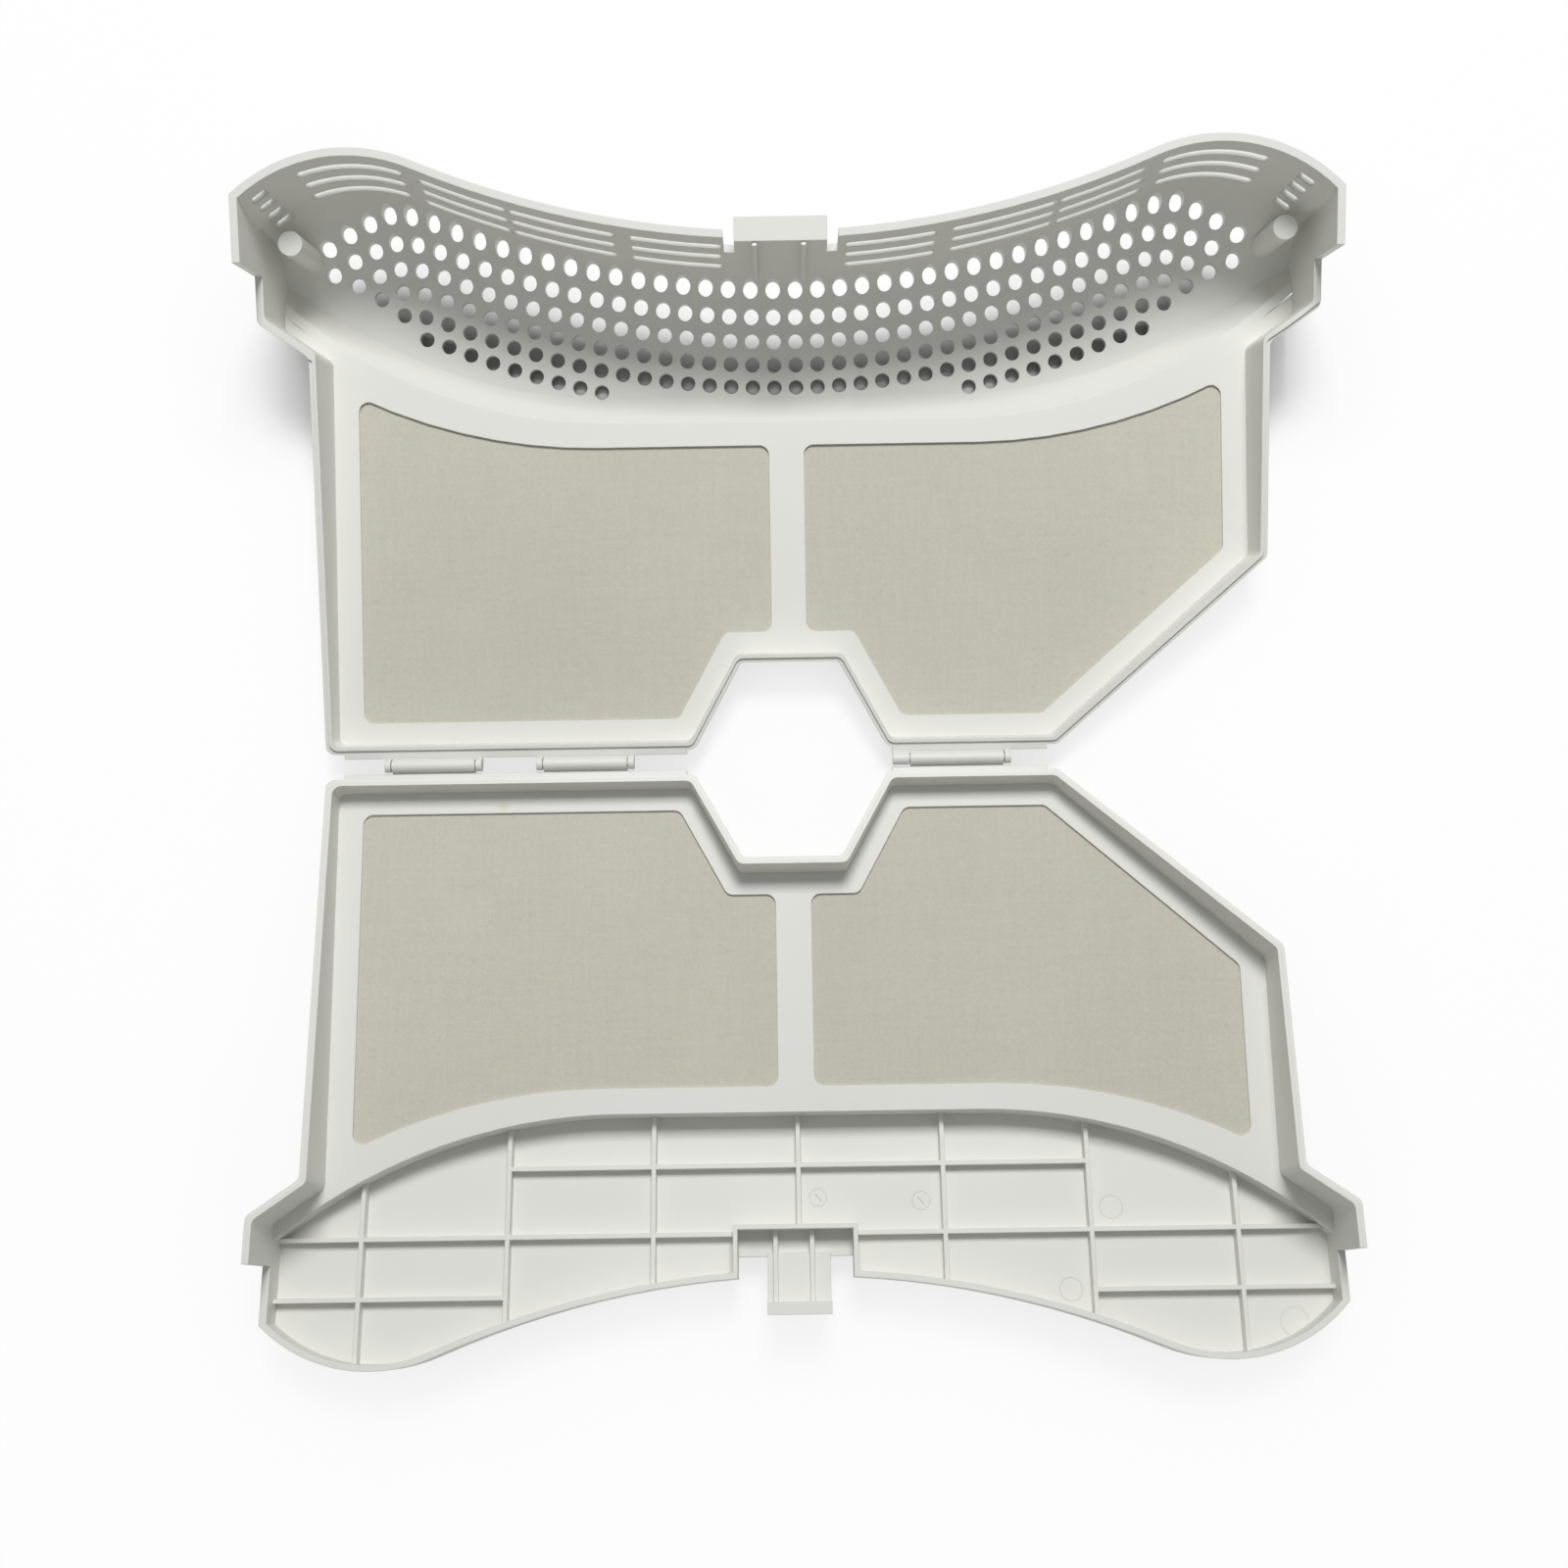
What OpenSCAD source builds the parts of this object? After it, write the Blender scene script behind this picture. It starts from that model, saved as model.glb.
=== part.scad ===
// Fold-out lint filter of a tumble-dryer door: two moulded half shells on pin hinges,
// each with two fine screens. The rear shell ends in a deep, wave-curved grille head,
// the front shell in the ribbed plate that covers it. The filter lies open, with the
// hinge along X on the ground side, the rear half towards +Y and Z up. The origin is on
// the ground under the middle of the hinge.

/* [Half frames] */
// Clear width between the side walls of a half
frame_w = 250.4; // [246:0.2:254]
// How far the frame sits to the right of the notch
frame_shift = 1.1; // [-1:0.1:2.5]
// Distance from the hinge line to where the side walls turn outwards
frame_l = 110; // [108:0.5:112]
// Thickness of the side walls
wall_t = 2; // [1.6:0.1:2.4]
// Thickness of the frame plate that holds the screens
plate_t = 2; // [1.6:0.1:2.6]
// Depth of the tray at the hinge line
tray_depth = 7.5; // [6:0.1:9]
// Slope of the tray floor, which deepens the tray towards the head
tray_slope = 5.7; // [5:0.1:6.2]
// Start of the slanted corner along the hinge
corner_x = 71.3; // [66:0.1:86]
// End of the slanted corner up the right side wall
corner_y = 53.6; // [42:0.1:60]
// Radius of the corners of the outline
corner_r = 2.4; // [1:0.1:3.4]
// Width of the half-hexagon notch at its narrow end
notch_top_w = 28.8; // [24:0.1:34]
// Width of the notch at the hinge
notch_base_w = 54.6; // [48:0.1:58]
// Depth of the notch, from the hinge line
notch_l = 28.7; // [24:0.1:31]
// Drop of the step along the outside of the rim
rim_step = 0.6; // [0.3:0.1:1]

/* [Windows] */
// Border between a side wall and the window
border_side = 6.8; // [5.5:0.1:8.5]
// Border between the hinge wall and the window
border_hinge = 5.8; // [4.5:0.1:7.5]
// Width of the bar between the two windows
bar_w = 9.6; // [7:0.1:13]
// Distance from the hinge line to the far edge of the windows, at the bar
window_l = 85.5; // [80:0.1:86.5]
// Half width of the straight part of that edge
window_flat = 52; // [48:0.5:56]
// Corner radius of the windows
window_r = 2.6; // [1.5:0.1:4]
// Thickness of a screen
screen_t = 0.4; // [0.3:0.1:0.6]
// How far a screen is held inside the frame plate
screen_grip = 1.6; // [1:0.1:2]

/* [Grille head] */
// Distance from the hinge line to the top edge of the back wall, at the middle
wave_y = 133.6; // [132:0.1:135]
// Radius of the hollow middle curve of the back wall
valley_r = 244; // [240:1:248]
// Radius of the two lobes of the back wall
lobe_r = 42; // [41:0.5:43]
// Distance of each lobe from the middle
lobe_x = 110; // [108:0.5:112]
// How far the ends stand out beyond the side walls
end_step = 13; // [12:0.1:14]
// Distance over which the side walls turn out to the ends
end_turn = 9; // [8:0.1:10]
// Height of the back wall above the rim
head_rise = 18.6; // [17.8:0.1:20]
// Depth of the perforated floor below the rim
head_depth = 26.5; // [25.5:0.1:27]
// Wall thickness of the head
head_t = 2; // [1.6:0.1:2.4]
// Radius of the bend between floor and back wall
bend_r = 30; // [28:0.5:31]
// Lean of the back wall
wall_lean = 10.5; // [9:0.1:12]
// Steepness of the plain band between the frame and the floor
band_angle = 52; // [48:0.5:57]
// Distance from the hinge line to the start of the band, at the middle
band_y = 92.2; // [91.4:0.1:93]
// Half width of the straight middle of the band
band_flat = 48; // [45:0.5:51]
// Radius of the curved ends of the band
band_r = 144; // [140:1:148]
// Radius of the post in each end of the head
post_r = 3.2; // [2.4:0.1:4]

/* [Perforation] */
// Diameter of the round holes
hole_d = 4; // [3:0.1:4.4]
// Spacing of the holes, along and across
hole_pitch = 6.04; // [5.9:0.02:6.3]
// Inset of the first row from the top edge of the back wall
hole_inset = 7.2; // [7:0.1:8]
// Rows of holes
hole_rows = 6; // [4:1:6]
// Width of the slots in the back wall
slot_w = 2.9; // [2.2:0.1:3.4]
// Spacing of the slots down the wall
slot_pitch = 6.5; // [6:0.1:6.6]
// Drop from the top edge to the first slot
slot_drop = 6.1; // [5.5:0.1:6.3]
// Angles at which the slots over the middle curve start
slot_from = [3.98, 10.46, 17.1];
// Angles at which the slots over the middle curve end
slot_to = [9.21, 16.36, 22];
// Half angle of the slots over a lobe
slot_lobe = 17.2; // [14:0.1:17.4]

/* [Cover plate] */
// Depth of the cover plate below the rim
cover_depth = 27; // [26:0.1:27.5]
// Thickness of the cover plate
cover_t = 2; // [1.6:0.1:2.4]
// Height of the lip round the cover plate
lip_h = 8; // [6:0.1:8]
// Thickness of the lip
lip_t = 1.6; // [1.2:0.1:1.8]
// Inset of the lip from the outside of the back wall
lip_inset = 1.8; // [0.5:0.1:2.5]
// Thickness of the stiffening ribs
rib_t = 1.2; // [0.8:0.1:1.8]
// Height of the stiffening ribs
rib_h = 3.5; // [2:0.1:4.5]
// Spacing of the ribs that run away from the hinge
rib_pitch = 38.4; // [37.8:0.1:39]
// Distance from the hinge line to the rib across the middle of the cover
near_rib_y = 105.4; // [102:0.1:109]
// Distance from the hinge line to the rib across the whole cover
mid_rib_y = 123; // [119:0.1:126]
// Distance from the hinge line to the ribs across the ends of the cover
far_rib_y = 138.2; // [134:0.1:141]
// Length of the end tabs past the turn of the side walls
tab_l = 10.5; // [9.5:0.1:12]

/* [Latch] */
// Width of the latch tongue
tongue_w = 16.6; // [14:0.1:18]
// Width of the recess round the tongue
recess_w = 30.2; // [28:0.1:34]
// Distance from the hinge line to the recess
recess_y = 122; // [120:0.5:122]
// Distance from the hinge line to the root of the tongue
tongue_y = 128.7; // [127:0.1:130]
// Height of the hook at the end of the tongue
hook_h = 12; // [10:0.1:12]
// Thickness of the hook
hook_t = 3.2; // [2:0.1:4]
// Clearance between the hook and the catch
latch_clear = 1; // [0.8:0.1:1.5]
// Reach of the catch past the top edge of the back wall
catch_l = 5.6; // [4:0.1:6.5]
// Width of the catch
catch_w = 23.6; // [20:0.1:24]
// Width of the slit on each side of the catch
slit_w = 2.8; // [2:0.1:3.2]
// Depth of those slits
slit_h = 9.5; // [6:0.1:11]

/* [Hinge] */
// Radius of the hinge knuckles
knuckle_r = 1.7; // [1.6:0.05:1.9]
// Diameter of the hinge pins
pin_d = 1.6; // [1.4:0.05:1.7]
// Radial clearance between pin and knuckle
pin_clear = 0.05; // [0.03:0.01:0.08]
// Clearance round the knuckles and beside their ears
hinge_clear = 0.3; // [0.25:0.05:0.4]
// Middle of each knuckle along the hinge
knuckle_x = [-96.8, -55.7, 44.8];
// Length of each knuckle
knuckle_l = [22.4, 22.6, 25.2];
// Thickness of the ear to the left of each knuckle
ear_left = [1.6, 1.6, 4.4];
// Thickness of the ears to the right of the knuckles
ear_right = 1.6; // [1.2:0.1:2.2]
// Height of the flange that carries the knuckles and ears
flange_h = 2.6; // [1.8:0.1:3.4]
// Gap between the two rims when the filter is shut
shut_gap = 0.4; // [0.3:0.05:0.6]

/* [Hidden] */
$fn = 48;
far = 400;
deep = 60;
plastic = [0.88, 0.88, 0.86];
gauze = [0.72, 0.71, 0.66];

// rim, hinge and ends
rim_z = -shut_gap / 2;
flange_y = knuckle_r + hinge_clear;
foot_y = flange_y + 1.3;
hinge_y = foot_y + wall_t;
left_x = frame_shift - frame_w / 2;
right_x = frame_shift + frame_w / 2;
end_left = left_x - end_step;
end_right = right_x + end_step;
end_y = frame_l + end_turn;
tab_y = end_y + tab_l;
step_z = rim_z - rim_step;

// wave line: a hollow middle arc that runs tangentially into two round lobes
valley_y = wave_y + valley_r;
lobe_y = valley_y - sqrt(pow(valley_r + lobe_r, 2) - lobe_x * lobe_x);
meet_x = valley_r * lobe_x / (valley_r + lobe_r);
meet_y = valley_y - (valley_y - lobe_y) * valley_r / (valley_r + lobe_r);
band_cy = band_y + band_r;

// line through the centres of the middle arc and the right lobe, where their walls meet
seam_x = lobe_x + 17.5;
function seam_y(x) = valley_y - x * (valley_y - lobe_y) / lobe_x;

// section of the head: leaning back wall, round bend, level floor
bend_z = bend_r - head_depth;
bend_s = (head_rise - bend_z) * tan(wall_lean) + bend_r / cos(wall_lean);

// inset of the back wall's face at height z, d further out
function wall_s(z, d) = (head_rise - z) * tan(wall_lean) - d / cos(wall_lean);

// square-set pocket at each end of the head
pocket_r = 18;
pocket_y = lobe_y + 28.1;
pocket_z = head_depth - 0.5;

// outermost holes, spacing of the short slots beside them, reach of a slot into the head
hole_reach = 124;
end_slot_pitch = 5.3;
slot_reach = hole_inset - hole_d / 2 - 0.3;

// height of the tray floor at a distance y from the hinge line
function tray_z(y) = -tray_depth - y * tan(tray_slope);

// wave line at x, and the line that the rows of holes follow
function wave_at(x) = abs(x) <= meet_x
    ? valley_y - sqrt(valley_r * valley_r - x * x)
    : lobe_y + sqrt(max(0, lobe_r * lobe_r - pow(abs(x) - lobe_x, 2)));
function row_line(x) = wave_at(x) - 0.3 * max(0, abs(x) - lobe_x + 5.8);

// curve that bounds the perforated floor towards the band
function floor_edge(x) = band_y + 8.2 + 0.0045 * pow(max(0, abs(x) - 42), 2);

// far edge of the windows, which runs along the band
window_gap = band_y - window_l;
function window_edge(x) = band_cy
    - sqrt(pow(band_r + window_gap, 2) - pow(max(0, abs(x) - window_flat), 2));

// tilt of each half when the open filter rests on the rear half's hinge wall, on its head
// and on the near edge of the cover
foot_z = tray_z(foot_y) - plate_t / cos(tray_slope);
rear_foot_y = band_y - head_t / sin(band_angle)
    + (head_depth + head_t + tray_z(band_y)) / tan(band_angle);
rear_tilt = atan((foot_z + head_depth + head_t) / (rear_foot_y - foot_y));
axis_z = -foot_z * cos(rear_tilt) - foot_y * sin(rear_tilt);
cover_foot = [band_y - wall_t, cover_depth + cover_t];
front_tilt = atan2(cover_foot[1], cover_foot[0]) - asin(axis_z / norm(cover_foot));

// middle of the k-th rib that runs away from the hinge
function rib_x(k) = 0.2 + k * rib_pitch;

// latch and catch
recess_mid = -0.85;
recess_x = [recess_mid - recess_w / 2, recess_mid + recess_w / 2];
catch_mid = -0.7;
catch_x = [catch_mid - catch_w / 2, catch_mid + catch_w / 2];
hook_y = wave_y + catch_l + latch_clear;

// polygon p moved outwards by d on every side, corners mitred
function unit(v) = v / norm(v);
function outset(p, d) = [
    for (i = [0:len(p) - 1])
        let (
            u = unit(p[i] - p[(i + len(p) - 1) % len(p)]),
            w = unit(p[(i + 1) % len(p)] - p[i]),
            n1 = [u[1], -u[0]],
            n2 = [w[1], -w[0]]
        )
        p[i] + d * (n1 + n2) / (1 + n1 * n2)
];

// polygon p with its corners rounded to radius r by arcs of n steps
function rounded(p, r, n = 5) = [
    for (i = [0:len(p) - 1])
        let (
            b = p[i],
            u = unit(b - p[(i + len(p) - 1) % len(p)]),
            w = unit(p[(i + 1) % len(p)] - b),
            half = acos(min(1, max(-1, u * w))) / 2,
            a = b - u * r * tan(half),
            e = b + w * r * tan(half),
            c = b + unit(w - u) * r / cos(half)
        )
        each half < 8 ? [b] : [
            for (k = [0:n])
                c + r * unit((1 - k / n) * (a - c) + (k / n) * (e - c))
        ]
];

// inside of the side walls, seen from above
outline = [
    [left_x, hinge_y],
    [-notch_base_w / 2, hinge_y],
    [-notch_top_w / 2, notch_l],
    [notch_top_w / 2, notch_l],
    [notch_base_w / 2, hinge_y],
    [corner_x, hinge_y],
    [right_x, corner_y],
    [right_x, frame_l],
    [end_right, end_y],
    [end_right, lobe_y + 62],
    [end_left, lobe_y + 62],
    [end_left, end_y],
    [left_x, frame_l]
];

// window with the near corners given and its far edge from x1 back to x0
function window(x0, x1, near) = concat(
    near,
    [for (k = [0:12]) let (x = x1 + (x0 - x1) * k / 12) [x, window_edge(x)]]
);
notch_run = (notch_base_w - notch_top_w) / 2 / (notch_l - hinge_y);
near_y = hinge_y + border_hinge;
bar_y = notch_l + border_hinge;
side_near = notch_base_w / 2 + border_hinge * (sqrt(1 + notch_run * notch_run) - notch_run);
side_far = side_near - (bar_y - near_y) * notch_run;
cut_run = (right_x - corner_x) / (corner_y - hinge_y);
cut_near = corner_x + border_hinge * (cut_run - sqrt(1 + cut_run * cut_run));
cut_far = near_y + (right_x - border_side - cut_near) / cut_run;
window_left = window(left_x + border_side, -bar_w / 2, [
    [left_x + border_side, near_y],
    [-side_near, near_y],
    [-side_far, bar_y],
    [-bar_w / 2, bar_y]
]);
window_right = window(bar_w / 2, right_x - border_side, [
    [bar_w / 2, bar_y],
    [side_far, bar_y],
    [side_near, near_y],
    [cut_near, near_y],
    [right_x - border_side, cut_far]
]);

module prism(z0, z1) {
    translate([0, 0, z0])
        linear_extrude(z1 - z0)
            children();
}

// slab from d to d + t below the tray floor, square to it
module tray_layer(d, t) {
    translate([0, 0, -tray_depth])
        rotate([-tray_slope, 0, 0])
            translate([-far / 2, -40, -d - t])
                cube([far, 260, t]);
}

module outline_2d(d) {
    polygon(rounded(outset(outline, d), corner_r));
}

// everything on the hinge side of the wave line, d wider all round
module wave_2d(d) {
    meet = [lobe_x, lobe_y] + ([meet_x, meet_y] - [lobe_x, lobe_y]) * (lobe_r + d) / lobe_r;
    difference() {
        union() {
            polygon([
                [end_left - 5, -20],
                [end_right + 5, -20],
                [end_right + 5, lobe_y],
                [lobe_x, lobe_y],
                meet,
                [-meet[0], meet[1]],
                [-lobe_x, lobe_y],
                [end_left - 5, lobe_y]
            ]);
            for (side = [-1, 1])
                translate([side * lobe_x, lobe_y])
                    circle(lobe_r + d, $fn = 180);
        }
        translate([0, valley_y])
            circle(valley_r - d, $fn = 360);
    }
}

// everything past the start of the band, d closer to the hinge
module band_2d(d) {
    translate([-band_flat, band_y - d])
        square([2 * band_flat, 90]);
    for (side = [-1, 1])
        translate([side * band_flat, band_cy])
            circle(band_r + d, $fn = 360);
}

// the same in the round, bounded below by the sloping face of the band
module above_band(d) {
    start = tray_z(band_y) + 4;
    run = 1 / tan(band_angle);
    edge = band_r + d / sin(band_angle) + 4 * run;
    section = [
        [0, start - deep],
        [edge - deep * run, start - deep],
        [edge, start],
        [edge, start + deep],
        [0, start + deep]
    ];
    translate([band_flat, band_cy, 0])
        rotate([90, 0, -90])
            linear_extrude(2 * band_flat)
                polygon(section);
    for (side = [-1, 1])
        translate([side * band_flat, band_cy, 0])
            rotate_extrude($fn = 360)
                polygon(section);
}

// section of the inside of the head as inset and height, d larger all round
module head_section(d, reach) {
    r = bend_r + d;
    top = head_rise + 20;
    centre = [bend_s, bend_z];
    difference() {
        polygon([
            [reach, -head_depth - d],
            [wall_s(-head_depth - d, d), -head_depth - d],
            [wall_s(top, d), top],
            [reach, top]
        ]);
        difference() {
            polygon([
                centre,
                centre - (r + 20) * [cos(wall_lean), sin(wall_lean)],
                [-30, -head_depth - d - 5],
                [bend_s, -head_depth - d - 5]
            ]);
            translate(centre)
                circle(r, $fn = 180);
        }
    }
}

// inside of the head over the middle curve of the wave
module valley_space(d) {
    intersection() {
        translate([0, valley_y, 0])
            rotate_extrude($fn = 360)
                translate([valley_r, 0])
                    head_section(d, deep);
        prism(-deep, deep)
            polygon([[0, valley_y], [seam_x, seam_y(seam_x)], [-seam_x, seam_y(seam_x)]]);
    }
}

// inside of the head over the right lobe
module lobe_space(d) {
    intersection() {
        translate([lobe_x, lobe_y, 0])
            rotate_extrude($fn = 180)
                mirror([1, 0])
                    translate([-lobe_r, 0])
                        head_section(d, lobe_r);
        prism(-deep, deep)
            polygon([
                [lobe_x / 2, seam_y(lobe_x / 2)],
                [seam_x, seam_y(seam_x)],
                [far / 2, seam_y(seam_x)],
                [far / 2, seam_y(lobe_x / 2)]
            ]);
    }
}

// pocket that carries the floor of the head out into the right end
module end_space(d) {
    y0 = lobe_y - 12;
    cy = pocket_y - pocket_r;
    cz = pocket_r - pocket_z;
    translate([lobe_x + 5, 0, 0])
        rotate([90, 0, 90])
            linear_extrude(end_step + 25)
                union() {
                    translate([y0, -pocket_z - d])
                        square([cy - y0, deep]);
                    translate([y0, cz])
                        square([pocket_y + d - y0, 40]);
                    translate([cy, cz])
                        circle(pocket_r + d, $fn = 120);
                }
}

// one space of the head, cut off by the band and by the outline
module bounded(d, top) {
    intersection() {
        children();
        above_band(d);
        prism(-deep, top)
            outline_2d(d);
    }
}

// what the tray and the low rim leave open above a part of the head
module headroom() {
    tray_solid(0, head_rise + 1, 4);
    translate([-far / 2, -20, rim_z])
        cube([far, tab_y + shut_gap + 20, far]);
}

module valley_shell() {
    difference() {
        bounded(head_t, head_rise)
            valley_space(head_t);
        bounded(0, head_rise + 1)
            valley_space(0);
        headroom();
        floor_holes(-lobe_x - 6, lobe_x + 6);
        valley_slots(0);
        valley_slots(1);
        catch_slits();
    }
}

// lobe and end on the right, or on the left when side is 1
module end_shell(side) {
    difference() {
        union() {
            bounded(head_t, head_rise)
                mirror([side, 0, 0])
                    lobe_space(head_t);
            bounded(head_t, head_rise)
                mirror([side, 0, 0])
                    end_space(head_t);
        }
        union() {
            bounded(0, head_rise + 1)
                mirror([side, 0, 0])
                    lobe_space(0);
            bounded(0, head_rise + 1)
                mirror([side, 0, 0])
                    end_space(0);
        }
        headroom();
        mirror([side, 0, 0]) {
            floor_holes(meet_x - 6, far / 2);
            lobe_slots();
        }
    }
}

// round holes of the perforated floor between x0 and x1, in rows that follow the wave
module floor_holes(x0, x1) {
    for (k = [floor(x0 / hole_pitch):floor(x1 / hole_pitch)], row = [0:hole_rows - 1]) {
        x = (k + 0.5) * hole_pitch;
        y = row_line(x) - hole_inset - row * hole_pitch;
        if (abs(x) < hole_reach && y > floor_edge(x) && (row < 5 || abs(x) > 45))
            translate([x, y, -deep])
                cylinder(d = hole_d, h = deep);
    }
}

// curved slot with round ends between radii r0 and r1 and angles a0 and a1
module arc_slot(r0, r1, a0, a1) {
    rotate([0, 0, a0])
        rotate_extrude(angle = a1 - a0, $fn = 360)
            translate([r0, -slot_w / 2])
                square([r1 - r0, slot_w]);
    for (a = [a0, a1])
        rotate([0, 0, a])
            translate([r0, 0, 0])
                rotate([0, 90, 0])
                    cylinder(d = slot_w, h = r1 - r0);
}

// slots over one half of the middle curve
module valley_slots(side) {
    for (row = [0:2], g = [0:len(slot_from) - 1])
        mirror([side, 0, 0])
            translate([0, valley_y, head_rise - slot_drop - row * slot_pitch])
                arc_slot(valley_r - 4, valley_r + slot_reach, slot_from[g] - 90, slot_to[g] - 90);
}

// slots over a lobe, and the short ones near its end
module lobe_slots() {
    translate([lobe_x, lobe_y, head_rise - slot_drop]) {
        for (row = [0:2])
            translate([0, 0, -row * slot_pitch])
                arc_slot(lobe_r - slot_reach, lobe_r + 4, 90 - slot_lobe, 90 + slot_lobe);
        for (row = [0:3])
            translate([0, 0, -row * end_slot_pitch])
                arc_slot(lobe_r - slot_reach, lobe_r + 4, 54, 59);
    }
}

// tray between the hinge and the band, d larger all round, reaching past the band's start
module tray_solid(d, top, past) {
    intersection() {
        prism(-deep, top)
            difference() {
                outline_2d(d);
                band_2d(-past);
            }
        tray_layer(-80, 80 + d);
    }
}

// step round the outside of the rim, as far as y
module rim_groove(y) {
    prism(step_z, 1)
        difference() {
            intersection() {
                outline_2d(wall_t + 1);
                translate([-far / 2, -20])
                    square([far, y + 20]);
            }
            outline_2d(wall_t / 2);
        }
}

// both screens of a half, and the windows they close
module screen(p) {
    intersection() {
        prism(-deep, 0)
            polygon(rounded(outset(p, screen_grip), window_r + screen_grip));
        tray_layer((plate_t - screen_t) / 2, screen_t);
    }
}

module windows() {
    for (p = [window_left, window_right]) {
        prism(-deep, 1)
            polygon(rounded(p, window_r));
        screen(p);
    }
}

// strips along the hinge walls that carry the knuckles or ears
module flanges() {
    for (x = [[left_x + 3, -notch_base_w / 2 - 1], [notch_base_w / 2 + 0.1, corner_x - 2]])
        translate([x[0], flange_y, step_z - flange_h])
            cube([x[1] - x[0], foot_y - flange_y + 0.5, flange_h]);
}

// round bar about the hinge line with the web that ties it to its flange
module hinge_piece(x0, x1) {
    translate([x0, 0, 0])
        rotate([0, 90, 0])
            cylinder(r = knuckle_r, h = x1 - x0);
    translate([x0, 0, -knuckle_r])
        cube([x1 - x0, foot_y + 0.5, knuckle_r + step_z]);
}

// bar of diameter d along the hinge line
module hinge_bar(x0, x1, d) {
    translate([x0, 0, 0])
        rotate([0, 90, 0])
            cylinder(d = d, h = x1 - x0);
}

// catch in the back wall: two slits, a ledge outside and two ribs inside
module catch_slits() {
    for (x = [catch_x[0] - slit_w, catch_x[1]])
        translate([x, wave_y - 6, head_rise - slit_h])
            cube([slit_w, 14, slit_h + 1]);
}

module catch_ledge() {
    translate([catch_x[0], wave_y - 0.5, head_rise - head_t])
        cube([catch_w, catch_l + 0.5, head_t]);
}

module catch_ribs() {
    for (x = [-7.9, 4.5])
        translate([x, wave_y, head_rise])
            rotate([-wall_lean, 0, 0])
                translate([0, -1.5, -24])
                    cube([rib_t, 2.5, 23.4]);
}

// tray walls and floor, which end inside the wall of the band
module tray_shell() {
    difference() {
        tray_solid(wall_t, rim_z, -head_t / 4);
        tray_solid(0, 1, 0);
    }
}

module rear_ears() {
    for (i = [0:len(knuckle_x) - 1]) {
        x0 = knuckle_x[i] - knuckle_l[i] / 2 - hinge_clear;
        x1 = knuckle_x[i] + knuckle_l[i] / 2 + hinge_clear;
        hinge_piece(x0 - ear_left[i], x0);
        hinge_piece(x1, x1 + ear_right);
        hinge_bar(x0 - 1, x1 + 1, pin_d);
    }
}

module front_knuckles() {
    difference() {
        for (i = [0:len(knuckle_x) - 1])
            hinge_piece(knuckle_x[i] - knuckle_l[i] / 2, knuckle_x[i] + knuckle_l[i] / 2);
        for (i = [0:len(knuckle_x) - 1])
            hinge_bar(knuckle_x[i] - knuckle_l[i] / 2 - 1, knuckle_x[i] + knuckle_l[i] / 2 + 1,
                pin_d + 2 * pin_clear);
    }
}

// post in the right end, or in the left end when side is 1, standing on the pocket's floor
module end_post(side) {
    x = side == 0 ? end_right - 8 : end_left + 8;
    intersection() {
        translate([x, tab_y + 8.5, -deep])
            cylinder(r = post_r, h = deep + 1);
        mirror([side, 0, 0])
            end_space(head_t / 2);
    }
}

module rear_shell() {
    color(plastic)
        rear() {
            difference() {
                union() {
                    tray_shell();
                    flanges();
                }
                windows();
                rim_groove(tab_y);
            }
            valley_shell();
            end_shell(0);
            end_shell(1);
            catch_ledge();
            catch_ribs();
            end_post(0);
            end_post(1);
            rear_ears();
        }
}

// plan of the cover inside its lip
module cover_2d() {
    intersection() {
        outline_2d(0);
        wave_2d(head_t - lip_inset - lip_t);
        band_2d(0);
    }
}

module recess_2d(d, y = recess_y) {
    translate([recess_x[0] - d, y - d])
        square([recess_w + 2 * d, far]);
}

// rib across the cover from x0 to x1
module cross_rib(y, x0, x1) {
    translate([x0, y - rib_t / 2])
        square([x1 - x0, rib_t]);
}

module cover_ribs() {
    for (k = [-3:3])
        translate([rib_x(k) - rib_t / 2, band_y - 1])
            square([rib_t, 100]);
    cross_rib(near_rib_y, rib_x(-2), rib_x(2));
    cross_rib(mid_rib_y, -far / 2, far / 2);
    cross_rib(far_rib_y, -far / 2, rib_x(-2));
    cross_rib(far_rib_y, rib_x(2), far / 2);
}

module cover_body() {
    lip_z = lip_h - cover_depth;
    difference() {
        prism(-cover_depth - cover_t, rim_z)
            intersection() {
                outline_2d(wall_t);
                wave_2d(head_t - lip_inset);
                band_2d(wall_t);
            }
        prism(-cover_depth, 1)
            difference() {
                cover_2d();
                recess_2d(rib_t);
            }
        prism(-cover_depth, 1)
            recess_2d(0);
        prism(lip_z, 1)
            union() {
                cover_2d();
                translate([-far / 2, tab_y])
                    square([far, far]);
            }
        prism(-deep, 1)
            recess_2d(0, tongue_y);
    }
}

module tongue() {
    translate([-tongue_w / 2, tongue_y - 1, -cover_depth])
        cube([tongue_w, hook_y + hook_t - tongue_y + 1, cover_t]);
    translate([-tongue_w / 2, hook_y, -cover_depth])
        cube([tongue_w, hook_t, hook_h]);
    for (x = [-6.1, 3.5])
        translate([x - rib_t / 2, recess_y, -cover_depth])
            cube([rib_t, hook_y - recess_y + 1, cover_t + 1.5]);
}

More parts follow.
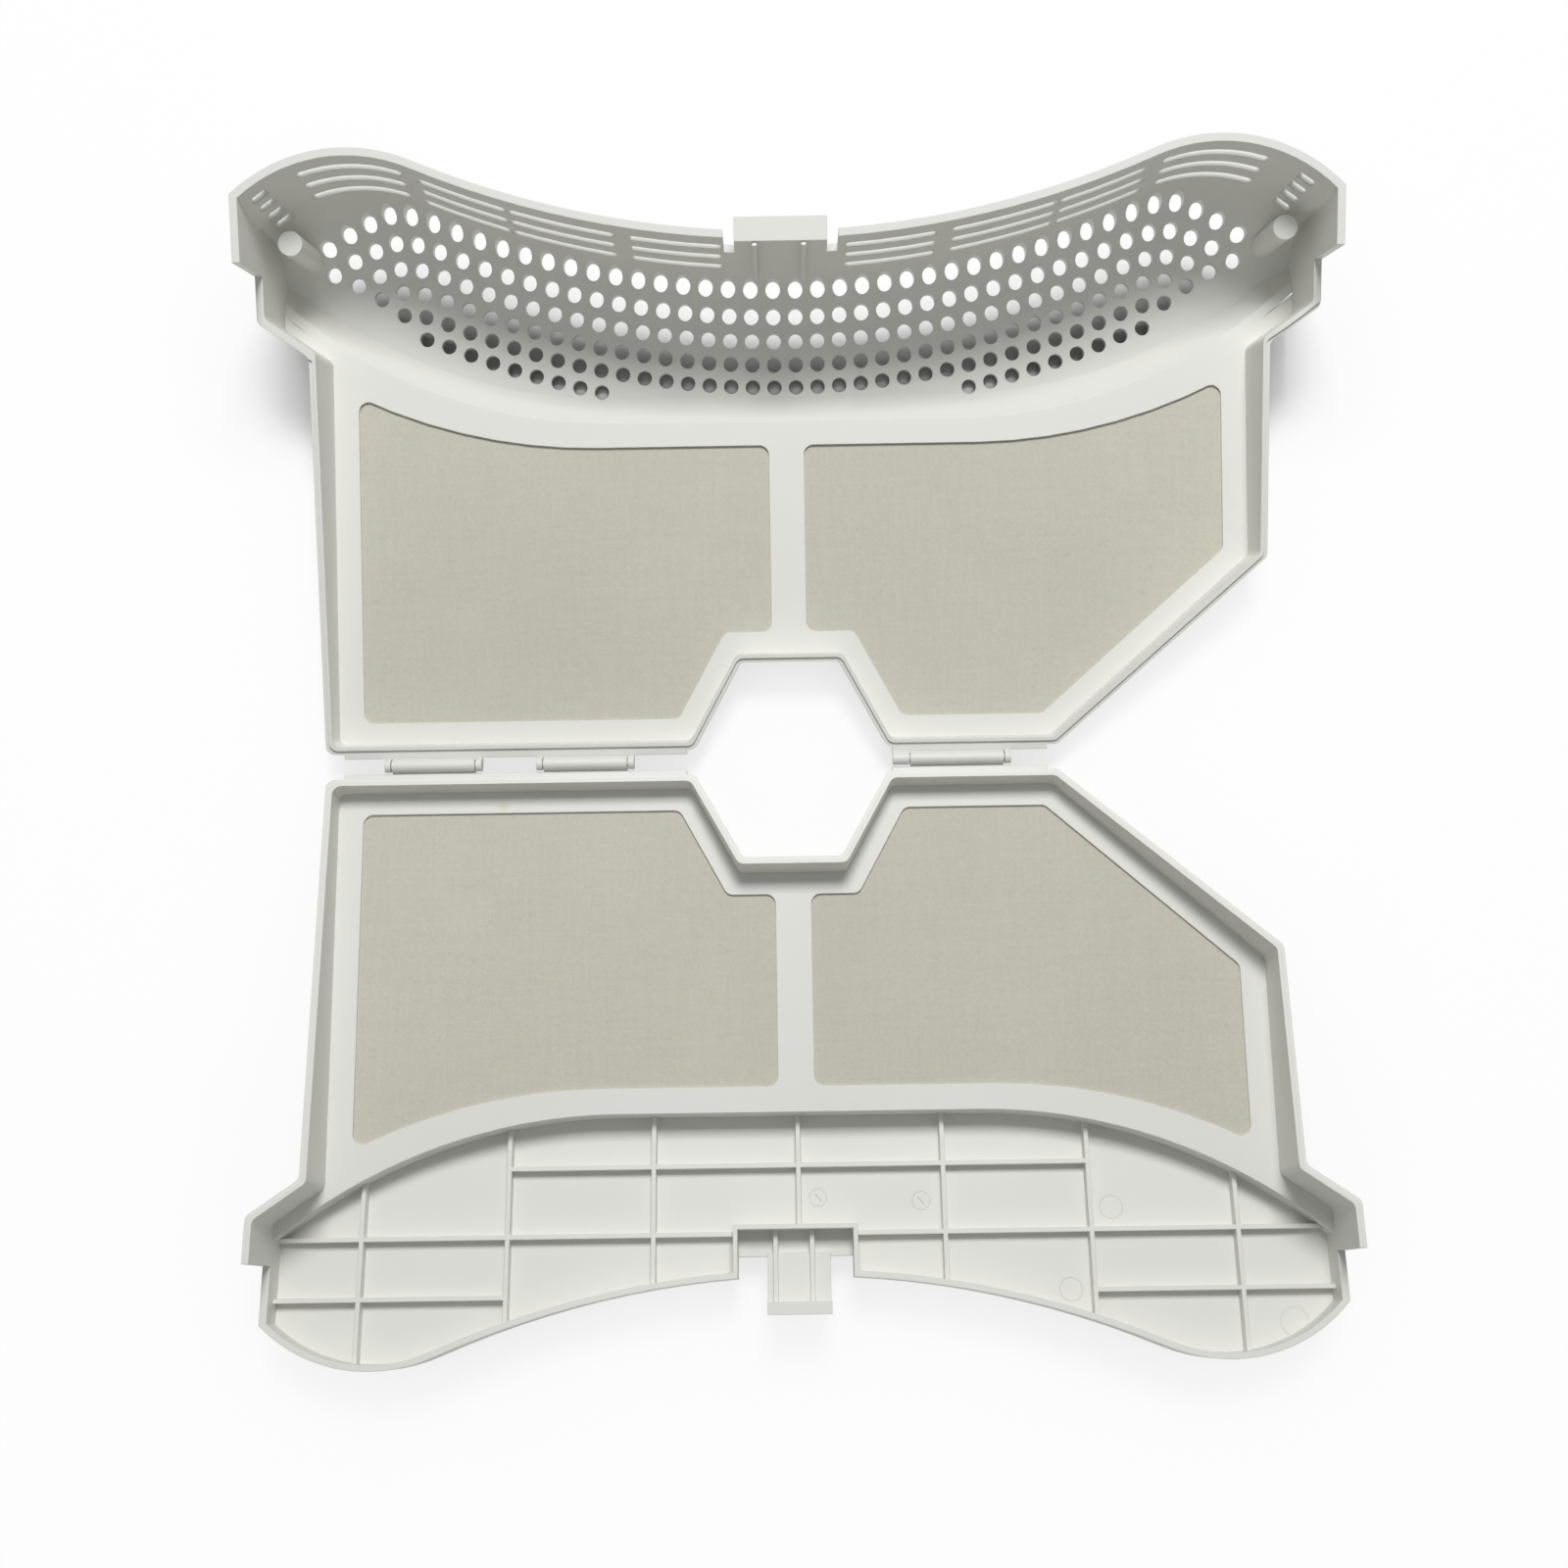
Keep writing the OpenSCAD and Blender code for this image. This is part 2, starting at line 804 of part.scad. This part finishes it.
module front_shell() {
    color(plastic)
        front() {
            difference() {
                union() {
                    tray_solid(wall_t, rim_z, -wall_t / 2);
                    cover_body();
                    flanges();
                }
                tray_solid(0, 1, 4);
                windows();
                rim_groove(tab_y + 5);
            }
            intersection() {
                prism(-cover_depth - 0.5, rib_h - cover_depth)
                    cover_ribs();
                prism(-deep, 1)
                    difference() {
                        intersection() {
                            outline_2d(0.5);
                            wave_2d(head_t - lip_inset - lip_t + 0.5);
                            band_2d(0.5);
                        }
                        recess_2d(0.5);
                    }
            }
            tongue();
            front_knuckles();
        }
}

module rear() {
    translate([0, 0, axis_z])
        rotate([rear_tilt, 0, 0])
            children();
}

module front() {
    translate([0, 0, axis_z])
        rotate([-front_tilt, 0, 0])
            mirror([0, 1, 0])
                children();
}

module rear_screen_left() {
    color(gauze)
        rear()
            screen(window_left);
}

module rear_screen_right() {
    color(gauze)
        rear()
            screen(window_right);
}

module front_screen_left() {
    color(gauze)
        front()
            screen(window_left);
}

module front_screen_right() {
    color(gauze)
        front()
            screen(window_right);
}

rear_shell();
rear_screen_left();
rear_screen_right();
front_shell();
front_screen_left();
front_screen_right();
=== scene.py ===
# %% [markdown]
# # A fold-out lint filter
#
# The filter is two moulded half frames joined by pin hinges. Each half carries two fine woven
# screens. The far half ends in a deep perforated head, the near half in the ribbed plate that
# covers it. This lesson takes the solid model as a fixed frame and gives it its camera, its
# finishes, its small moulding marks and its light.

import math

import bmesh
import bpy
from mathutils import Matrix, Vector


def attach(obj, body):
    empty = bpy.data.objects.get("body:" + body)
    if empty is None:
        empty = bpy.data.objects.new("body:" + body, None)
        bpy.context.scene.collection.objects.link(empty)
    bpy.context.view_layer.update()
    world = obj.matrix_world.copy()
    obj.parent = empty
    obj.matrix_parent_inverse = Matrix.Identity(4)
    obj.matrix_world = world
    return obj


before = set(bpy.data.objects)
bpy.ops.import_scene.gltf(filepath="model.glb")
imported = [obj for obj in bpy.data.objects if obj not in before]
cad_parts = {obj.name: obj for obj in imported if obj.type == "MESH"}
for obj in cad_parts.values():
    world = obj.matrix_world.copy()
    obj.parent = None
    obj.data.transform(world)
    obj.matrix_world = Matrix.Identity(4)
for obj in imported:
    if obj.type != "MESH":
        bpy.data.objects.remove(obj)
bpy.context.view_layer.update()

# %% [markdown]
# ## The camera
#
# The filter was seen from almost straight above, a little from the hinge's near side. The
# camera's place and turn were found by fitting the model's own corners to where they appear in
# the picture. They are written here as a matrix whose columns are the camera's right, up and
# backward directions, which avoids any doubt about the order of rotations.

# %% Camera
IMAGE_PX = 1600
FOCAL_PX = 1747.5
CAMERA_AT = Vector((-0.000655, -0.045766, 0.470592))
CAMERA_TURN = Matrix((
    (0.999873, 0.015639, 0.003011),
    (-0.015326, 0.996266, -0.084962),
    (-0.004328, 0.084905, 0.996380),
))

camera_data = bpy.data.cameras.new("camera")
camera_data.sensor_width = 36
camera_data.lens = FOCAL_PX / IMAGE_PX * camera_data.sensor_width
camera_data.clip_start = 0.01
camera = bpy.data.objects.new("camera", camera_data)
bpy.context.scene.collection.objects.link(camera)
camera.matrix_world = Matrix.Translation(CAMERA_AT) @ CAMERA_TURN.to_4x4()
bpy.context.scene.camera = camera
print("lens", round(camera_data.lens, 2), "mm")

# %% [markdown]
# ## Colours
#
# Colours are easiest to name as they look on a screen, but shaders work with linear light. This
# helper converts one into the other, so that each finish is written as it should look.

# %% Screen colours to linear light
def seen(r, g, b):
    def linear(c):
        return c / 12.92 if c <= 0.04045 else ((c + 0.055) / 1.055) ** 2.4
    return (linear(r), linear(g), linear(b), 1)


PLASTIC = seen(0.905, 0.907, 0.888)
PLASTIC_WARM = seen(0.885, 0.884, 0.862)
THREAD = seen(0.858, 0.850, 0.797)
THREAD_SHADE = seen(0.732, 0.719, 0.668)
print("plastic", [round(c, 3) for c in PLASTIC[:3]])

# %% [markdown]
# ## Small helpers for shader nodes
#
# A material is a graph of nodes. A few helpers keep the recipes short: they add a node and set
# its inputs, join an output to an input, or put two values through one sum.

# %% Node helpers
def add(tree, kind, **inputs):
    node = tree.nodes.new(kind)
    for name, value in inputs.items():
        node.inputs[name.replace("_", " ")].default_value = value
    return node


def join(tree, source, target):
    tree.links.new(source, target)


def maths(tree, operation, first, second):
    node = tree.nodes.new("ShaderNodeMath")
    node.operation = operation
    for socket, value in zip(node.inputs, (first, second)):
        if isinstance(value, bpy.types.NodeSocket):
            join(tree, value, socket)
        else:
            socket.default_value = value
    return node.outputs["Value"]


def ramp(tree, value, low, high, at_low, at_high):
    node = add(tree, "ShaderNodeMapRange", From_Min=low, From_Max=high, To_Min=at_low, To_Max=at_high)
    join(tree, value, node.inputs["Value"])
    return node.outputs["Result"]


def new_group(name, inputs, outputs):
    tree = bpy.data.node_groups.new(name, "ShaderNodeTree")
    for socket, kind, value in inputs:
        made = tree.interface.new_socket(socket, in_out="INPUT", socket_type=kind)
        if value is not None:
            made.default_value = value
    for socket, kind in outputs:
        tree.interface.new_socket(socket, in_out="OUTPUT", socket_type=kind)
    return tree, tree.nodes.new("NodeGroupInput"), tree.nodes.new("NodeGroupOutput")


def use_group(tree, group, **inputs):
    node = tree.nodes.new("ShaderNodeGroup")
    node.node_tree = group
    for name, value in inputs.items():
        node.inputs[name.replace("_", " ")].default_value = value
    return node


# %% [markdown]
# ## Mottle: an effect that both finishes share
#
# Neither the plastic nor the cloth is one even colour. Both drift a little over centimetres,
# and both carry finer specks. The effect is a node group, built once: it mixes two colours by a
# broad noise and a fine noise, and hands out the mixed colour and the mask behind it.

# %% Mottle group
mottle, inside, outside = new_group(
    "mottle",
    [("Colour A", "NodeSocketColor", (1, 1, 1, 1)),
     ("Colour B", "NodeSocketColor", (0, 0, 0, 1)),
     ("Broad Scale", "NodeSocketFloat", 20.0),
     ("Fine Scale", "NodeSocketFloat", 400.0),
     ("Fine Share", "NodeSocketFloat", 0.3)],
    [("Colour", "NodeSocketColor"), ("Mask", "NodeSocketFloat")],
)
place = add(mottle, "ShaderNodeTexCoord")
broad = add(mottle, "ShaderNodeTexNoise", Detail=3.0, Roughness=0.55)
fine = add(mottle, "ShaderNodeTexNoise", Detail=4.0, Roughness=0.6)
blend = add(mottle, "ShaderNodeMix")
colours = mottle.nodes.new("ShaderNodeMix")
colours.data_type = "RGBA"
join(mottle, place.outputs["Object"], broad.inputs["Vector"])
join(mottle, place.outputs["Object"], fine.inputs["Vector"])
join(mottle, inside.outputs["Broad Scale"], broad.inputs["Scale"])
join(mottle, inside.outputs["Fine Scale"], fine.inputs["Scale"])
join(mottle, inside.outputs["Fine Share"], blend.inputs[0])
join(mottle, broad.outputs["Fac"], blend.inputs[2])
join(mottle, fine.outputs["Fac"], blend.inputs[3])
join(mottle, blend.outputs[0], colours.inputs[0])
join(mottle, inside.outputs["Colour A"], colours.inputs[6])
join(mottle, inside.outputs["Colour B"], colours.inputs[7])
join(mottle, colours.outputs[2], outside.inputs["Colour"])
join(mottle, blend.outputs[0], outside.inputs["Mask"])
print("mottle group with", len(mottle.nodes), "nodes")

# %% [markdown]
# ## Moulded plastic
#
# The shells are satin off-white plastic. A mould leaves a fine grain, which a small bump makes,
# and slightly rounded edges, which catch the light as thin bright lines. The solids have sharp
# edges, so a Bevel node bends the normals there instead of changing the shape. Use has left one
# small yellow spot beside the near half's hinge wall, mixed in by its distance from a point.

# %% Plastic material
STAIN = seen(0.80, 0.76, 0.60)
STAIN_AT = (-0.0790, -0.0109, 0.0028)
STAIN_R = 0.0020

plastic = bpy.data.materials.new("moulded_plastic")
plastic.use_nodes = True
tree = plastic.node_tree
shader = tree.nodes["Principled BSDF"]
shader.inputs["Specular IOR Level"].default_value = 0.45
tone = use_group(tree, mottle, Colour_A=PLASTIC, Colour_B=PLASTIC_WARM,
                 Broad_Scale=18.0, Fine_Scale=900.0, Fine_Share=0.25)
satin = add(tree, "ShaderNodeMapRange", To_Min=0.42, To_Max=0.56)
edges = add(tree, "ShaderNodeBevel", Radius=0.0003)
edges.samples = 4
grain = add(tree, "ShaderNodeBump", Strength=0.12, Distance=0.00008)
place = add(tree, "ShaderNodeTexCoord")
away = tree.nodes.new("ShaderNodeVectorMath")
away.operation = "DISTANCE"
away.inputs[1].default_value = STAIN_AT
spot = add(tree, "ShaderNodeMapRange", From_Min=STAIN_R * 0.3, From_Max=STAIN_R, To_Min=0.75, To_Max=0.0)
stained = tree.nodes.new("ShaderNodeMix")
stained.data_type = "RGBA"
stained.inputs[7].default_value = STAIN
join(tree, place.outputs["Object"], away.inputs[0])
join(tree, away.outputs["Value"], spot.inputs["Value"])
join(tree, maths(tree, "MULTIPLY", spot.outputs["Result"], tone.outputs["Mask"]), stained.inputs[0])
join(tree, tone.outputs["Colour"], stained.inputs[6])
join(tree, stained.outputs[2], shader.inputs["Base Color"])
join(tree, tone.outputs["Mask"], satin.inputs["Value"])
join(tree, satin.outputs["Result"], shader.inputs["Roughness"])
join(tree, tone.outputs["Mask"], grain.inputs["Height"])
join(tree, edges.outputs["Normal"], grain.inputs["Normal"])
join(tree, grain.outputs["Normal"], shader.inputs["Normal"])
print("plastic material ready")

# %% [markdown]
# ## Woven screen
#
# The screens are a dense cloth of very fine threads. From reading distance the single threads
# blur together, and what shows is a linen look: short streaks along and across, where threads
# are a little thicker. Two noises, each stretched along one direction, make those streaks, and
# two wave textures at the thread spacing make the weave that shows close up.

# %% Screen material
THREAD_PITCH = 0.0006
STREAK = 60

gauze = bpy.data.materials.new("woven_screen")
gauze.use_nodes = True
tree = gauze.node_tree
shader = tree.nodes["Principled BSDF"]
shader.inputs["Roughness"].default_value = 0.85
shader.inputs["Specular IOR Level"].default_value = 0.2
place = add(tree, "ShaderNodeTexCoord")

streaks = []
for stretch in ((1, 14, 1), (14, 1, 1)):
    squeeze = add(tree, "ShaderNodeMapping", Scale=stretch)
    noise = add(tree, "ShaderNodeTexNoise", Scale=STREAK, Detail=5.0, Roughness=0.65)
    join(tree, place.outputs["Object"], squeeze.inputs["Vector"])
    join(tree, squeeze.outputs["Vector"], noise.inputs["Vector"])
    streaks.append(noise.outputs["Fac"])

threads = []
for direction in ("X", "Y"):
    wave = add(tree, "ShaderNodeTexWave", Scale=2 * math.pi / (20 * THREAD_PITCH))
    wave.bands_direction = direction
    join(tree, place.outputs["Object"], wave.inputs["Vector"])
    threads.append(wave.outputs["Fac"])

linen = maths(tree, "ADD", *streaks)
weave = maths(tree, "MAXIMUM", *threads)

tone = use_group(tree, mottle, Colour_A=THREAD, Colour_B=THREAD_SHADE,
                 Broad_Scale=14.0, Fine_Scale=1100.0, Fine_Share=0.6)
contrast = add(tree, "ShaderNodeMapRange", From_Min=0.7, From_Max=1.3, To_Min=0.97, To_Max=1.03)
tint = tree.nodes.new("ShaderNodeMix")
tint.data_type = "RGBA"
tint.blend_type = "MULTIPLY"
tint.inputs[0].default_value = 1.0
relief = add(tree, "ShaderNodeBump", Strength=0.3, Distance=0.00006)
join(tree, linen, contrast.inputs["Value"])
join(tree, tone.outputs["Colour"], tint.inputs[6])
join(tree, contrast.outputs["Result"], tint.inputs[7])
join(tree, tint.outputs[2], shader.inputs["Base Color"])
join(tree, weave, relief.inputs["Height"])
join(tree, relief.outputs["Normal"], shader.inputs["Normal"])
print("thread spacing", THREAD_PITCH * 1000, "mm")

# %% [markdown]
# ## Dress the solids
#
# The solid model's shapes are right as they are, so each keeps its mesh and only gets its
# material.

# %% Assign materials
for name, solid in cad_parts.items():
    solid.data.materials.clear()
    solid.data.materials.append(gauze if "screen" in name else plastic)
    print(name, "->", solid.data.materials[0].name)

# %% [markdown]
# ## Moulding marks
#
# Ejector pins push a moulded part out of its tool and leave shallow round marks. The cover
# plate has several. Each is a low ring, spun from a small section, that stands a little proud
# of the plate, and two of them carry a short ridge. They are placed in the near half's own
# directions and then turned with it.

# %% Place in the near half
AXIS_Z = 0.009025
FRONT_TILT = math.radians(12.357)
PLATE = -0.027


def on_front(x, v, z):
    y = v * math.cos(FRONT_TILT) - z * math.sin(FRONT_TILT)
    return Vector((x, -y, AXIS_Z + v * math.sin(FRONT_TILT) + z * math.cos(FRONT_TILT)))


# %% Rings
RING_W = 0.00035
RING_H = 0.00012
MARKS = [(0.0053, 0.1136, 0.0023), (0.0327, 0.1147, 0.0024), (0.1288, 0.1468, 0.0037),
         (0.0711, 0.1379, 0.0030), (0.0830, 0.1171, 0.0030)]


def ring(mesh, x, v, radius, steps=40):
    section = ((radius - RING_W, -0.0001), (radius - RING_W * 0.4, RING_H),
               (radius + RING_W * 0.4, RING_H), (radius + RING_W, -0.0001))
    loops = []
    for k in range(steps):
        a = 2 * math.pi * k / steps
        loops.append([mesh.verts.new(on_front(x + r * math.cos(a), v + r * math.sin(a), PLATE + h))
                      for r, h in section])
    for k in range(steps):
        here, there = loops[k], loops[(k + 1) % steps]
        for j in range(4):
            mesh.faces.new((here[j], there[j], there[(j + 1) % 4], here[(j + 1) % 4]))


def ridge(mesh, x, v, length):
    along = Vector((0.64, 0.77)) * length / 2
    across = Vector((-0.77, 0.64)) * RING_W
    ends = []
    for end in (-1, 1):
        middle = Vector((x, v)) + along * end
        inner = Vector((x, v)) + along * end * 0.8
        ends.append([mesh.verts.new(on_front(*spot, PLATE + h)) for spot, h in
                     ((middle - across, -0.0001), (inner, RING_H * 2), (middle + across, -0.0001))])
    near, far = ends
    for j in range(3):
        mesh.faces.new((near[j], far[j], far[(j + 1) % 3], near[(j + 1) % 3]))
    mesh.faces.new(near)
    mesh.faces.new(list(reversed(far)))


work = bmesh.new()
for mark in MARKS:
    ring(work, *mark)
for x, v, radius in MARKS[:2]:
    ridge(work, x, v, radius * 1.2)
bmesh.ops.recalc_face_normals(work, faces=work.faces)
mark_mesh = bpy.data.meshes.new("moulding_marks")
work.to_mesh(mark_mesh)
work.free()
marks = bpy.data.objects.new("moulding_marks", mark_mesh)
bpy.context.scene.collection.objects.link(marks)
mark_mesh.materials.append(plastic)
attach(marks, "front")
print(len(MARKS), "rings,", len(mark_mesh.polygons), "faces")

# %% [markdown]
# ## Floor
#
# The floor is nearly white and plain but for one patch of painted shade under the head. What the
# camera, a gloss or a clear surface sees of it is made bright directly, through Light Path, so the
# background is white. An Ambient Occlusion node takes some of that away where the filter stands
# close, which keeps its shadow. Under the deep head it takes all of it, and the floor's colour
# there is darkened to a painted shade, so the floor seen through the lower holes lies in shade.

# %% Floor
FLOOR_TONE = 0.93
# Colour of the painted shade under the head.
PAINTED_SHADE_TONE = 0.16
GLOW = 0.95
SHADOW = 0.22


def looked_at(tree):
    path = add(tree, "ShaderNodeLightPath").outputs
    through = maths(tree, "MAXIMUM", path["Is Glossy Ray"], path["Is Transmission Ray"])
    return maths(tree, "MAXIMUM", path["Is Camera Ray"], through)


bpy.ops.mesh.primitive_plane_add(size=12, location=(0, 0, -0.0002))
floor = bpy.context.object
floor.name = "floor"

paper = bpy.data.materials.new("floor_paper")
paper.use_nodes = True
tree = paper.node_tree
matte = tree.nodes["Principled BSDF"]
matte.inputs["Roughness"].default_value = 1
place = add(tree, "ShaderNodeTexCoord")
parts = add(tree, "ShaderNodeSeparateXYZ")
join(tree, place.outputs["Object"], parts.inputs["Vector"])
open_sky = add(tree, "ShaderNodeAmbientOcclusion", Distance=0.05).outputs["AO"]
under_head = ramp(tree, parts.outputs["Y"], 0.080, 0.096, 0, 1)
# Painted shade: where the floor is closed in under the head, its colour goes darker.
painted_shade_mask = maths(tree, "MULTIPLY", under_head, ramp(tree, open_sky, 0.1, 0.6, 1, 0))
join(tree, ramp(tree, painted_shade_mask, 0, 1, FLOOR_TONE, PAINTED_SHADE_TONE), matte.inputs["Base Color"])

shadow = maths(tree, "MULTIPLY", ramp(tree, open_sky, 0.35, 0.97, 1, 0),
               ramp(tree, under_head, 0, 1, SHADOW, GLOW))
glow_share = maths(tree, "SUBTRACT", GLOW, shadow)
glow = add(tree, "ShaderNodeEmission", Strength=1.0)
mix = add(tree, "ShaderNodeMixShader")
join(tree, maths(tree, "MULTIPLY", glow_share, looked_at(tree)), mix.inputs["Fac"])
join(tree, matte.outputs["BSDF"], mix.inputs[1])
join(tree, glow.outputs["Emission"], mix.inputs[2])
join(tree, mix.outputs["Shader"], tree.nodes["Material Output"].inputs["Surface"])
floor.data.materials.append(paper)
print("floor ready")

# %% [markdown]
# ## Light
#
# The light came from above and from behind the head, so the inside of the head's back wall lies
# in soft shade and the rims are bright. One large lamp gives that direction. The world fills the
# shade from all sides.

# %% Lamp and world
def lamp(name, at, size, watts):
    data = bpy.data.lights.new(name, "AREA")
    data.energy = watts
    data.size = size
    made = bpy.data.objects.new(name, data)
    bpy.context.scene.collection.objects.link(made)
    made.location = at
    made.rotation_euler = (-Vector(at)).to_track_quat("-Z", "Y").to_euler()
    return made


lamp("key_lamp", (0.05, 0.62, 1.0), 0.34, 10.1)

FILL = 0.24

world = bpy.data.worlds.new("studio")
bpy.context.scene.world = world
world.use_nodes = True
tree = world.node_tree
sky = tree.nodes["Background"]
sky.inputs["Color"].default_value = (1, 1, 1, 1)
join(tree, ramp(tree, looked_at(tree), 0, 1, FILL, 1), sky.inputs["Strength"])
bpy.context.scene.view_settings.view_transform = "Standard"
print("one lamp and the world")
